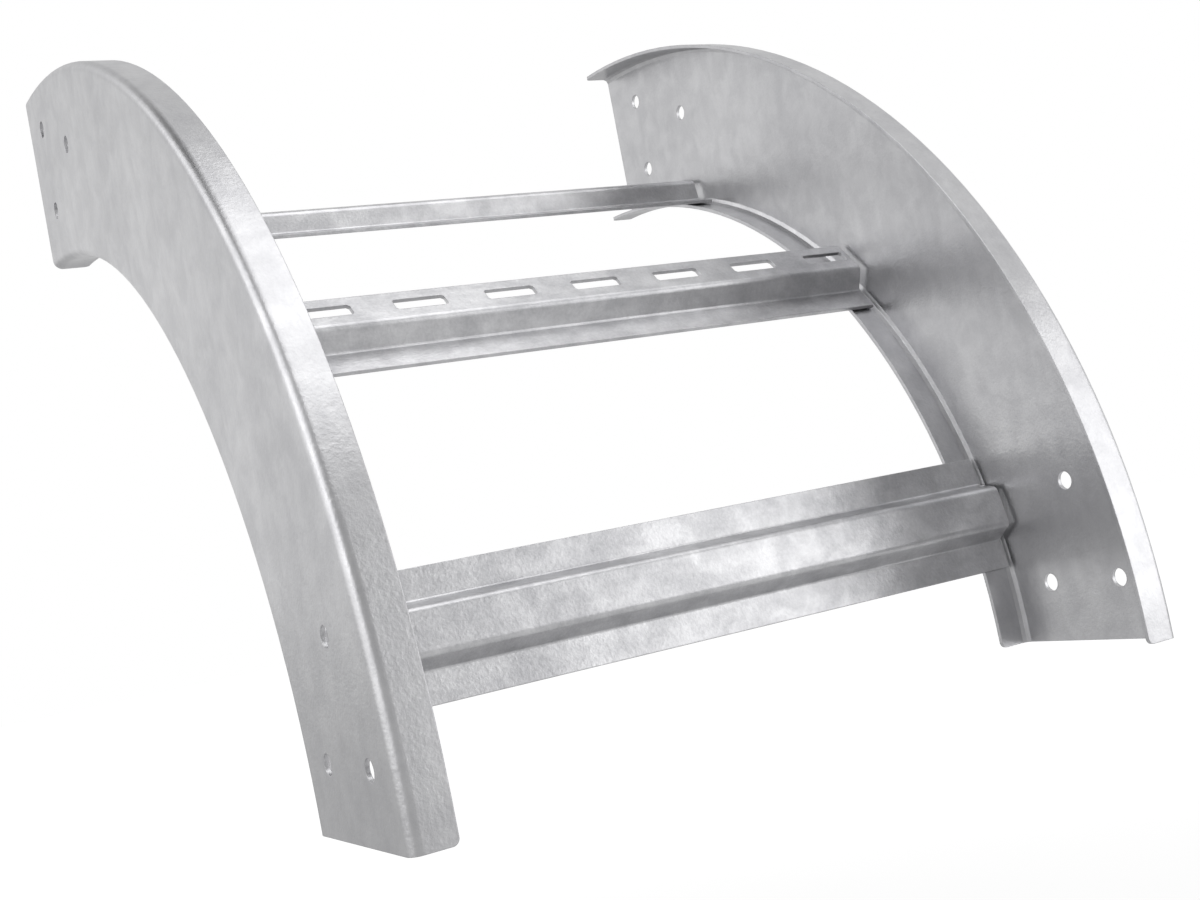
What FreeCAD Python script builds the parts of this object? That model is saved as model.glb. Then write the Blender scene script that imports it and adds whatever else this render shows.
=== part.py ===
"""Cable ladder bend: an outside riser that turns a cable run through a quarter circle.

Five pieces of galvanised sheet steel: two curved side rails folded to a channel, and three
folded rungs welded between them.  Millimetres, +Z up.  X runs across the bend, from the left
rail to the right one.  The bend turns about the X axis: its lower end points down at the front
(-Y) and its upper end points level to the back (+Y), so the rounded outside faces up and forwards.
The pieces are drawn about the bend's axis, and then moved so that the origin is the middle of the
lower end, between the rails and at half their height.
"""
import FreeCAD, Part

import math
import os

# Driving dimensions of the bend
OVERALL_WIDTH = 390.0          # across the outer faces of the two rails
INNER_RADIUS = 300.0           # of the rails' inner edge
BEND_ANGLE = 90.0              # degrees that the cable run turns through

# Side rails
RAIL_HEIGHT = 100.0            # from the inner flange's face to the outer flange's face
RAIL_SHEET = 2.0
OUTER_FLANGE = 19.0            # flange widths, over the web's outer face
INNER_FLANGE = 19.0
RAIL_FOLD = 3.0                # inside radius of the folds
FLANGE_CORNER = 3.0            # rounding of the flanges' free corners

# Holes for the splice plates, three at each end of each web
HOLE_DIAMETER = 9.0
PAIR_FROM_END = 30.0           # the two holes side by side
PAIR_SPACING = 46.0
THIRD_FROM_END = 80.0          # the single hole, on the middle of the web

# Rungs
RUNG_SHEET = 2.0
RUNG_WIDTH = 60.0              # over both brims of the plain rung
RUNG_HEIGHT = 14.0
CROWN_WIDTH = 20.6             # over the corners of the hat's top
HAT_FOOT = 30.6                # over the corners where the hat's walls meet the brims
FREE_EDGE = 12.1               # from a slotted rung's middle plane to its crown's free edge
RUNG_FOLD = 1.5                # inside radius of the folds
RUNG_END_GAP = 0.3             # from each end of a rung to the start of the rail's fold
FIRST_RUNG = 13.2              # degrees round the bend from the lower end to the lower rung
RUNG_STEP = 31.5               # degrees from one rung to the next

# Slots for cable ties, in a row along the crown of the upper and the middle rung
SLOT_COUNT = 8
SLOT_FROM_END = 16.45          # from each end of the rung to the middle of the nearest slot
SLOT_OFFSET = 2.0              # from the rung's middle plane towards the free edge
SLOT_LENGTH = 27.5
SLOT_WIDTH = 8.0
SLOT_CORNER = 1.2              # cut off each corner

# Working values
CUT_MARGIN = 2.0               # how far a drill or a slot cutter reaches past the sheet
SAME_LENGTH = 0.2              # lengths closer than this count as equal

OUTER_RADIUS = INNER_RADIUS + RAIL_HEIGHT
MIDDLE_RADIUS = (INNER_RADIUS + OUTER_RADIUS) / 2
INSIDE_WIDTH = OVERALL_WIDTH - 2 * RAIL_SHEET
RUNG_LENGTH = INSIDE_WIDTH - 2 * (RAIL_FOLD + RUNG_END_GAP)

BEND_CENTRE = FreeCAD.Vector(0, 0, 0)
AXIS = FreeCAD.Vector(1, 0, 0)
LOWER_END = FreeCAD.Vector(0, -MIDDLE_RADIUS, 0)


class Fold:
    """One rounded corner of a sheet's middle line, between two straight stretches."""

    def __init__(self, before, corner, after, radius):
        arriving = (corner - before).normalize()
        leaving = (after - corner).normalize()
        turn = math.atan2(arriving.x * leaving.y - arriving.y * leaving.x, arriving * leaving)
        reach = radius * math.tan(abs(turn) / 2)
        self.side = math.copysign(1.0, turn)
        self.start = corner - arriving * reach
        self.end = corner + leaving * reach
        self.centre = self.start + left_of(arriving) * (self.side * radius)
        self.middle_way = (corner - self.centre).normalize()
        self.radius = radius

    def edges(self, offset, flats_inside):
        """The fold on the line that lies this far to the left of the middle line."""
        radius = self.radius - self.side * offset
        start = self.centre + (self.start - self.centre) * (radius / self.radius)
        end = self.centre + (self.end - self.centre) * (radius / self.radius)
        middle = self.centre + self.middle_way * radius
        if flats_inside and radius < self.radius:
            return [Part.LineSegment(start, middle).toShape(), Part.LineSegment(middle, end).toShape()]
        return [Part.Arc(start, middle, end).toShape()]


def left_of(direction):
    """The direction a quarter turn to the left, in XY."""
    return FreeCAD.Vector(-direction.y, direction.x, 0)


def sheet_section(corners, sheet, fold_radius, flats_inside=False):
    """Face of a folded sheet, drawn in XY, from the sharp corners of its middle line.

    A fold is an arc on both sides.  On a piece that also curves along its length the inner side can
    be two flats instead, which keeps the number of facets down.
    """
    points = [FreeCAD.Vector(a, b, 0) for a, b in corners]
    folds = [
        Fold(before, corner, after, fold_radius + sheet / 2)
        for before, corner, after in zip(points, points[1:], points[2:])
    ]
    sides = []
    for offset in (sheet / 2, -sheet / 2):
        first = points[0] + left_of((points[1] - points[0]).normalize()) * offset
        last = points[-1] + left_of((points[-1] - points[-2]).normalize()) * offset
        edges = []
        place = first
        for fold in folds:
            turn = fold.edges(offset, flats_inside)
            start = turn[0].Vertexes[0].Point
            edges.append(Part.LineSegment(place, start).toShape())
            edges += turn
            place = turn[-1].Vertexes[-1].Point
        edges.append(Part.LineSegment(place, last).toShape())
        sides.append((first, last, edges))
    (first_left, last_left, left), (first_right, last_right, right) = sides
    outline = left + [Part.LineSegment(last_left, last_right).toShape()]
    outline += right[::-1] + [Part.LineSegment(first_right, first_left).toShape()]
    return Part.Face(Part.Wire(Part.__sortEdges__(outline)))


def rail_section(side):
    """The rail's channel at the lower end, with both flanges towards the middle of the bend."""
    web = side * (OVERALL_WIDTH - RAIL_SHEET) / 2
    inner_free = side * (OVERALL_WIDTH / 2 - INNER_FLANGE)
    outer_free = side * (OVERALL_WIDTH / 2 - OUTER_FLANGE)
    inner = INNER_RADIUS + RAIL_SHEET / 2
    outer = OUTER_RADIUS - RAIL_SHEET / 2
    corners = [(inner_free, -inner), (web, -inner), (web, -outer), (outer_free, -outer)]
    return sheet_section(corners, RAIL_SHEET, RAIL_FOLD, flats_inside=True)


def end_holes(side):
    """Drills for the three holes at the lower end."""
    length = RAIL_SHEET + 2 * CUT_MARGIN
    start = (side * (OVERALL_WIDTH - RAIL_SHEET) - length) / 2
    places = [
        (PAIR_FROM_END, MIDDLE_RADIUS - PAIR_SPACING / 2),
        (PAIR_FROM_END, MIDDLE_RADIUS + PAIR_SPACING / 2),
        (THIRD_FROM_END, MIDDLE_RADIUS),
    ]
    drills = []
    for from_end, radius in places:
        place = FreeCAD.Vector(start, -radius, from_end)
        drills.append(Part.makeCylinder(HOLE_DIAMETER / 2, length, place, AXIS))
    return Part.makeCompound(drills)


def at_upper_end(shape):
    """The lower end's shape, mirrored over the middle of the bend to the upper end."""
    half = math.radians(BEND_ANGLE / 2)
    along_bend = FreeCAD.Vector(0, math.sin(half), math.cos(half))
    return shape.mirror(BEND_CENTRE, along_bend)


def free_corners(rail, side):
    """The short edges at the four free corners of the flanges."""
    found = []
    for edge in rail.Edges:
        from_web = OVERALL_WIDTH / 2 - side * edge.CenterOfMass.x
        short = abs(edge.Length - RAIL_SHEET) < SAME_LENGTH
        along_web = abs(edge.Vertexes[0].X - edge.Vertexes[-1].X) < SAME_LENGTH
        at_free_edge = min(abs(from_web - INNER_FLANGE), abs(from_web - OUTER_FLANGE)) < SAME_LENGTH
        if short and along_web and at_free_edge:
            found.append(edge)
    return found


def side_rail(side):
    """A curved channel folded from one sheet: web, outer flange and inner flange."""
    rail = rail_section(side).revolve(BEND_CENTRE, -AXIS, BEND_ANGLE)
    drills = end_holes(side)
    rail = rail.cut([drills, at_upper_end(drills)]).Solids[0]
    return rail.makeFillet(FLANGE_CORNER, free_corners(rail, side))


def slot_cutter(x):
    """A slot with its corners taken off, to cut through the crown of a rung that lies flat."""
    block = Part.makeBox(SLOT_LENGTH, SLOT_WIDTH, RUNG_SHEET + 2 * CUT_MARGIN)
    bottom = RUNG_HEIGHT - RUNG_SHEET - CUT_MARGIN
    block.translate(FreeCAD.Vector(x - SLOT_LENGTH / 2, SLOT_OFFSET - SLOT_WIDTH / 2, bottom))
    upright = [edge for edge in block.Edges if edge.BoundBox.ZLength > SAME_LENGTH]
    return block.makeChamfer(SLOT_CORNER, upright)


def hat_line():
    """Half widths of the hat's middle line at its foot and crown, and the angle of its folds.

    The hat's sizes are given on its top surface, which lies half a sheet off the middle line.
    """
    slope = math.atan2(RUNG_HEIGHT - RUNG_SHEET, (HAT_FOOT - CROWN_WIDTH) / 2)
    shift = RUNG_SHEET / 2 * math.tan(slope / 2)
    return HAT_FOOT / 2 - shift, CROWN_WIDTH / 2 - shift, slope


def flat_rung(slotted):
    """A rung lying flat, with its brims' undersides on Z = 0 and its length along X.

    The plain rung is a whole hat.  A slotted one stops at its crown's free edge, without the wall
    and the brim on the side of the upper end, so that its slots open right through.
    """
    foot, crown, _ = hat_line()
    low = RUNG_SHEET / 2
    high = RUNG_HEIGHT - RUNG_SHEET / 2
    brim = RUNG_WIDTH / 2
    corners = [(-brim, low), (-foot, low), (-crown, high)]
    corners += [(FREE_EDGE, high)] if slotted else [(crown, high), (foot, low), (brim, low)]
    section = sheet_section(corners, RUNG_SHEET, RUNG_FOLD)
    rung = section.extrude(FreeCAD.Vector(0, 0, RUNG_LENGTH))
    # Drawn in XY and drawn out along Z: a third of a turn makes that YZ and X.
    rung.rotate(BEND_CENTRE, FreeCAD.Vector(1, 1, 1), 120)
    rung.translate(FreeCAD.Vector(-RUNG_LENGTH / 2, 0, 0))
    if slotted:
        first = SLOT_FROM_END - RUNG_LENGTH / 2
        pitch = (RUNG_LENGTH - 2 * SLOT_FROM_END) / (SLOT_COUNT - 1)
        slots = [slot_cutter(first + pitch * number) for number in range(SLOT_COUNT)]
        rung = rung.cut(slots)
    return rung.Solids[0]


def seat_radius():
    """Radius of the brims' undersides when a rung's feet touch the curved inner flanges."""
    foot, _, slope = hat_line()
    fold_centre = foot + (RUNG_FOLD + RUNG_SHEET / 2) * math.tan(slope / 2)
    under_fold = RUNG_FOLD + RUNG_SHEET
    flange_face = INNER_RADIUS + RAIL_SHEET
    return math.sqrt((flange_face + under_fold) ** 2 - fold_centre ** 2) - under_fold


def rung(angle, slotted):
    """A rung seated across the two inner flanges, at this many degrees from the lower end."""
    piece = flat_rung(slotted)
    piece.translate(FreeCAD.Vector(0, 0, seat_radius()))
    piece.rotate(BEND_CENTRE, AXIS, 90 - angle)
    return piece


pieces = {
    "side_rail_left": side_rail(-1),
    "side_rail_right": side_rail(1),
    "rung_lower": rung(FIRST_RUNG, slotted=False),
    "rung_middle": rung(FIRST_RUNG + RUNG_STEP, slotted=True),
    "rung_upper": rung(FIRST_RUNG + 2 * RUNG_STEP, slotted=True),
}

os.makedirs("parts", exist_ok=True)
for name, piece in pieces.items():
    piece.translate(-LOWER_END)
    piece.exportStep("parts/" + name + ".step")
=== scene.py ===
"""Look of a cable ladder bend in hot-dip galvanised steel, on a white ground under soft light."""
import math

import bpy
from mathutils import Matrix, Vector

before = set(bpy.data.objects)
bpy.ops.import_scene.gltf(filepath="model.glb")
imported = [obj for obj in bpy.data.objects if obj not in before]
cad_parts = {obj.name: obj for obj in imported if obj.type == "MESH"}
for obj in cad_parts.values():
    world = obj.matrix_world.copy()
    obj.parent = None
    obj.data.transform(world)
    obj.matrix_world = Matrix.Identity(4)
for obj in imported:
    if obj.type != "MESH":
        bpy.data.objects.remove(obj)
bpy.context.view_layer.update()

# Side rails: two channels, each folded from one sheet and curved to a quarter circle, then dipped
# whole in molten zinc.  The zinc sets to a satin skin of pale clouds and darker patches, with faint
# runs down the sheet and a fine pebbled surface that breaks up the shine along the folds.


class Socket:
    """An output of a node, so that a finish's sums can be written as plain expressions."""

    def __init__(self, tree, output=None):
        self.tree = tree
        self.output = output

    def add(self, kind, settings, inputs, output=0):
        """A new node: its settings first, then the values or links of its inputs."""
        node = self.tree.nodes.new(kind)
        for name, value in settings.items():
            setattr(node, name, value)
        for name, value in inputs.items():
            if isinstance(value, Socket):
                self.tree.links.new(value.output, node.inputs[name])
            else:
                node.inputs[name].default_value = value
        return Socket(self.tree, node.outputs[output]) if node.outputs else None

    def sum_node(self, operation, first, second):
        return self.add("ShaderNodeMath", {"operation": operation}, {0: first, 1: second})

    def __add__(self, other):
        return self.sum_node("ADD", self, other)

    __radd__ = __add__

    def __sub__(self, other):
        return self.sum_node("SUBTRACT", self, other)

    def __rsub__(self, other):
        return self.sum_node("SUBTRACT", other, self)

    def __mul__(self, other):
        return self.sum_node("MULTIPLY", self, other)

    __rmul__ = __mul__


def noise(place, size, detail, roughness, distortion=0.0):
    """Soft noise from 0 to 1 whose blots are about this many metres across."""
    inputs = {"Vector": place, "Scale": 1 / size, "Detail": detail, "Roughness": roughness,
              "Distortion": distortion}
    return place.add("ShaderNodeTexNoise", {}, inputs)


def spread(value, low, high):
    """The value from low to high, stretched over 0 to 1 with soft ends."""
    inputs = {"Value": value, "From Min": low, "From Max": high}
    return value.add("ShaderNodeMapRange", {"interpolation_type": "SMOOTHSTEP"}, inputs)


# A Mix node repeats its sockets' names, so its colour sockets go by number.
MIX_FIRST, MIX_SECOND, MIX_RESULT = 6, 7, 2


def blend(share, first, second):
    """A colour between two colours."""
    settings = {"data_type": "RGBA", "clamp_factor": True}
    inputs = {"Factor": share, MIX_FIRST: first, MIX_SECOND: second}
    return share.add("ShaderNodeMix", settings, inputs, output=MIX_RESULT)


# The zinc's marks: their size in metres, and their share in its shade of grey.
CLOUD_SIZE, CLOUD_SHADE = 0.090, 0.24
PATCH_SIZE, PATCH_SHADE = 0.016, 0.34
RUN_SIZE, RUN_SHADE = 0.008, 0.14
SPANGLE_SIZE, SPANGLE_SHADE = 0.007, 0.12
GRAIN_SIZE, GRAIN_SHADE = 0.0014, 0.16

# Its relief: the marks' size in metres, and their height as a share of the relief's depth, which is
# in metres too.  The sheet's sharp edges look rounded off by EDGE_RADIUS.
PEBBLE_SIZE, PEBBLE_HEIGHT = 0.0020, 0.38
RIPPLE_SIZE, RIPPLE_HEIGHT = 0.008, 0.32
GRAIN_HEIGHT = 0.1
RELIEF_DEPTH, RELIEF_STRENGTH = 0.0005, 0.5
EDGE_RADIUS, EDGE_SAMPLES = 0.0006, 4

# Its shine: nearly bare metal, smoother in clouds and patches and rougher in the spangle.
ZINC_METALLIC = 0.92
ZINC_ROUGHNESS, ROUGHNESS_SHIFT = 0.37, 0.04


def galvanised(material, tint, patch, run_direction):
    """Gives a material the zinc skin.

    tint is the pale grey and patch the darker one; run_direction squeezes the place so that the
    zinc's runs come out long one way and short the other two.
    """
    material.use_nodes = True
    tree = material.node_tree
    tree.nodes.clear()
    place = Socket(tree).add("ShaderNodeTexCoord", {}, {}, output="Object")
    squeeze = {0: place, 1: run_direction}
    along = place.add("ShaderNodeVectorMath", {"operation": "MULTIPLY"}, squeeze)

    cloud = noise(place, CLOUD_SIZE, detail=3.0, roughness=0.5, distortion=0.3)
    cloud = spread(cloud, low=0.30, high=0.70)
    patches = noise(place, PATCH_SIZE, detail=3.0, roughness=0.6, distortion=0.5)
    patches = spread(patches, low=0.30, high=0.72)
    runs = spread(noise(along, RUN_SIZE, detail=3.0, roughness=0.6), low=0.35, high=0.68)
    grain = spread(noise(place, GRAIN_SIZE, detail=2.0, roughness=0.6), low=0.25, high=0.75)
    inputs = {"Vector": place, "Scale": 1 / SPANGLE_SIZE, "Smoothness": 0.6}
    cells = place.add("ShaderNodeTexVoronoi", {"feature": "SMOOTH_F1"}, inputs, output="Color")
    spangle = cells.add("ShaderNodeSeparateColor", {}, {"Color": cells})

    shade = (cloud * CLOUD_SHADE + patches * PATCH_SHADE + runs * RUN_SHADE
             + spangle * SPANGLE_SHADE + grain * GRAIN_SHADE)
    colour = blend(shade, patch, tint)
    roughness = (ZINC_ROUGHNESS - cloud * ROUGHNESS_SHIFT - patches * ROUGHNESS_SHIFT
                 + spangle * ROUGHNESS_SHIFT)

    pebbles = noise(place, PEBBLE_SIZE, detail=2.0, roughness=0.5)
    ripples = noise(place, RIPPLE_SIZE, detail=3.0, roughness=0.55, distortion=0.8)
    height = pebbles * PEBBLE_HEIGHT + grain * GRAIN_HEIGHT + ripples * RIPPLE_HEIGHT
    softened = place.add("ShaderNodeBevel", {"samples": EDGE_SAMPLES}, {"Radius": EDGE_RADIUS})
    inputs = {"Strength": RELIEF_STRENGTH, "Distance": RELIEF_DEPTH, "Height": height,
              "Normal": softened}
    normal = place.add("ShaderNodeBump", {}, inputs)

    inputs = {"Base Color": colour, "Metallic": ZINC_METALLIC, "Roughness": roughness,
              "Normal": normal}
    skin = place.add("ShaderNodeBsdfPrincipled", {}, inputs)
    place.add("ShaderNodeOutputMaterial", {}, {"Surface": skin})


RAIL_TINT = (0.60, 0.60, 0.61, 1.0)
RAIL_PATCH = (0.43, 0.43, 0.445, 1.0)
RAIL_RUNS = (1.0, 1.0, 0.22)

rail_steel = bpy.data.materials.new("rail_zinc")
galvanised(rail_steel, RAIL_TINT, RAIL_PATCH, RAIL_RUNS)
for name in ("side_rail_left", "side_rail_right"):
    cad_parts[name].material_slots[0].material = rail_steel

# Rungs: three sheets folded lengthwise and welded across the inner flanges.  The lower one is a
# whole hat section; the upper two are a brim, a wall and a crown with a row of tie slots and a
# free rear edge.  They are dipped with the rails, and their zinc runs lengthwise.
RUNG_TINT = (0.69, 0.69, 0.70, 1.0)
RUNG_PATCH = (0.35, 0.35, 0.365, 1.0)
RUNG_RUNS = (0.25, 1.0, 1.0)

rung_steel = bpy.data.materials.new("rung_zinc")
galvanised(rung_steel, RUNG_TINT, RUNG_PATCH, RUNG_RUNS)
for name in ("rung_lower", "rung_middle", "rung_upper"):
    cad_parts[name].material_slots[0].material = rung_steel

# Floor: a wide white sheet well below the bend, which is shown free in the air.  It takes the
# bend's soft shadow.  The eye sees it white; in the steel it shows as the lit sheet that it is.
FLOOR_DROP = 0.75
FLOOR_REACH = 14.0
FLOOR_CORNERS = ((-1, -1), (1, -1), (1, 1), (-1, 1))
FLOOR_WHITE = (0.86, 0.86, 0.86, 1.0)
NEAR_GLOW = (0.37, 0.37, 0.37, 1.0)
FAR_GLOW = (0.60, 0.60, 0.60, 1.0)
IN_STEEL = (0.11, 0.11, 0.11, 1.0)
RAY_KINDS = ("Is Camera Ray", "Is Glossy Ray", "Is Transmission Ray")

floor_mesh = bpy.data.meshes.new("floor")
corners = [(x * FLOOR_REACH, y * FLOOR_REACH, -FLOOR_DROP) for x, y in FLOOR_CORNERS]
floor_mesh.from_pydata(corners, [], [(0, 1, 2, 3)])
floor = bpy.data.objects.new("floor", floor_mesh)
bpy.context.scene.collection.objects.link(floor)


def ray_kinds(tree):
    """Whether the eye, shiny steel or something clear looks at a spot, each 1 or 0."""
    light_path = Socket(tree).add("ShaderNodeLightPath", {}, {}).output.node
    return [Socket(tree, light_path.outputs[kind]) for kind in RAY_KINDS]


floor_paint = bpy.data.materials.new("floor_white")
floor_paint.use_nodes = True
floor_paint.node_tree.nodes.clear()
eye_ray, glossy_ray, clear_ray = ray_kinds(floor_paint.node_tree)
spot = eye_ray.add("ShaderNodeTexCoord", {}, {}, output="Object")
distance = spot.add("ShaderNodeVectorMath", {"operation": "LENGTH"}, {0: spot}, output="Value")
seen_glow = blend(spread(distance, low=1.0, high=5.0), NEAR_GLOW, FAR_GLOW)
glow = blend(glossy_ray, seen_glow, IN_STEEL)
sheet = spot.add("ShaderNodeBsdfDiffuse", {}, {"Color": FLOOR_WHITE})
seen = eye_ray + clear_ray + glossy_ray
white = spot.add("ShaderNodeEmission", {}, {"Color": glow, "Strength": seen})
both = spot.add("ShaderNodeAddShader", {}, {0: sheet, 1: white})
spot.add("ShaderNodeOutputMaterial", {}, {"Surface": both})
floor_mesh.materials.append(floor_paint)

# Surroundings: a white room.  The eye sees it plain white.  In the steel it is duller in front and
# overhead, and lit on the left: the wall and side draw the bright line down the left rail's fold,
# and the left of the back shows in the right rail's web.
ROOM_WHITE = (1.0, 1.0, 1.0, 1.0)
FILL_LIGHT = 0.55
OVERHEAD = (-0.15, 0.10, 0.98)
OVERHEAD_LOSS = 0.75
SKY_LOSS = 0.20
FRONT_LOSS = 0.35
WALL_RISE = 0.3
WALL_GAIN = 1.25
BACK_GAIN = 0.12
SIDE_GAIN = 0.70

world = bpy.data.worlds.new("white_room")
bpy.context.scene.world = world
world.use_nodes = True
world.node_tree.nodes.clear()
eye_ray, glossy_ray, clear_ray = ray_kinds(world.node_tree)
way = eye_ray.add("ShaderNodeTexCoord", {}, {}, output="Generated")
parts = way.add("ShaderNodeSeparateXYZ", {}, {0: way}).output.node.outputs
to_right, to_back, up = [Socket(world.node_tree, parts[axis]) for axis in "XYZ"]
to_left = 0 - to_right
inputs = {0: way, 1: OVERHEAD}
nearness = way.add("ShaderNodeVectorMath", {"operation": "DOT_PRODUCT"}, inputs, output="Value")
overhead = spread(nearness, low=0.86, high=0.97)
sky = spread(up, low=0.15, high=0.40)
in_front = spread(0 - to_back, low=-0.1, high=0.9)
left_wall = spread(to_left, low=0.32, high=0.60)
left_wall = left_wall * spread(up - to_back * WALL_RISE, low=0.25, high=0.45)
left_wall = left_wall * spread(to_back, low=-0.60, high=-0.25)
left_back = spread(to_left, low=0.40, high=0.62) * spread(to_back, low=0.20, high=0.60)
left_side = spread(to_left, low=0.76, high=0.92)
in_steel = 1 - overhead * OVERHEAD_LOSS - sky * SKY_LOSS - in_front * FRONT_LOSS
in_steel = in_steel + left_wall * WALL_GAIN + left_back * BACK_GAIN + left_side * SIDE_GAIN
straight = eye_ray + clear_ray
strength = straight + glossy_ray * in_steel + (1 - straight - glossy_ray) * FILL_LIGHT
room = way.add("ShaderNodeBackground", {}, {"Color": ROOM_WHITE, "Strength": strength})
way.add("ShaderNodeOutputWorld", {}, {"Surface": room})

# Lamps: two soft panels.  One hangs above and in front and brightens the middle of the left flange
# and the crowns; the other stands low at the front on the right and lights the lower rung.
MIDDLE = Vector((0.0, 0.15, 0.2))
PANELS = (  # name, heading from the bend's middle, distance and side in metres, watts
    ("upper_panel", (0.20, -0.45, 1.2), 1.30, 1.2, 7.0),
    ("front_right_panel", (0.728, -0.685, 0.14), 2.2, 1.88, 17.2),
)

for name, heading, distance, side, watts in PANELS:
    panel = bpy.data.lights.new(name, "AREA")
    panel.size = side
    panel.energy = watts
    lamp = bpy.data.objects.new(name, panel)
    lamp.location = MIDDLE + Vector(heading).normalized() * distance
    lamp.rotation_euler = Vector(heading).to_track_quat("Z", "Y").to_euler()
    bpy.context.scene.collection.objects.link(lamp)

# Camera: close to the left rail and low, turned to the right and tipped a little.  Its place, aim
# and lens come from a fit to the holes, corners and edges that the photograph shows.
CAMERA_SPOT = (-0.3969, -0.5969, 0.1075)
CAMERA_AIM = Vector((0.4884, 0.8719, 0.0367))
CAMERA_TIP = math.radians(-10.652)
CAMERA_LENS = 48.996
SENSOR_WIDTH = 36.0

eye = bpy.data.cameras.new("camera")
eye.lens = CAMERA_LENS
eye.sensor_width = SENSOR_WIDTH
camera = bpy.data.objects.new("camera", eye)
aim = CAMERA_AIM.to_track_quat("-Z", "Y").to_matrix().to_4x4()
camera.matrix_world = Matrix.Translation(CAMERA_SPOT) @ aim @ Matrix.Rotation(CAMERA_TIP, 4, "Z")
bpy.context.scene.collection.objects.link(camera)
bpy.context.scene.camera = camera
bpy.context.scene.view_settings.view_transform = "Standard"
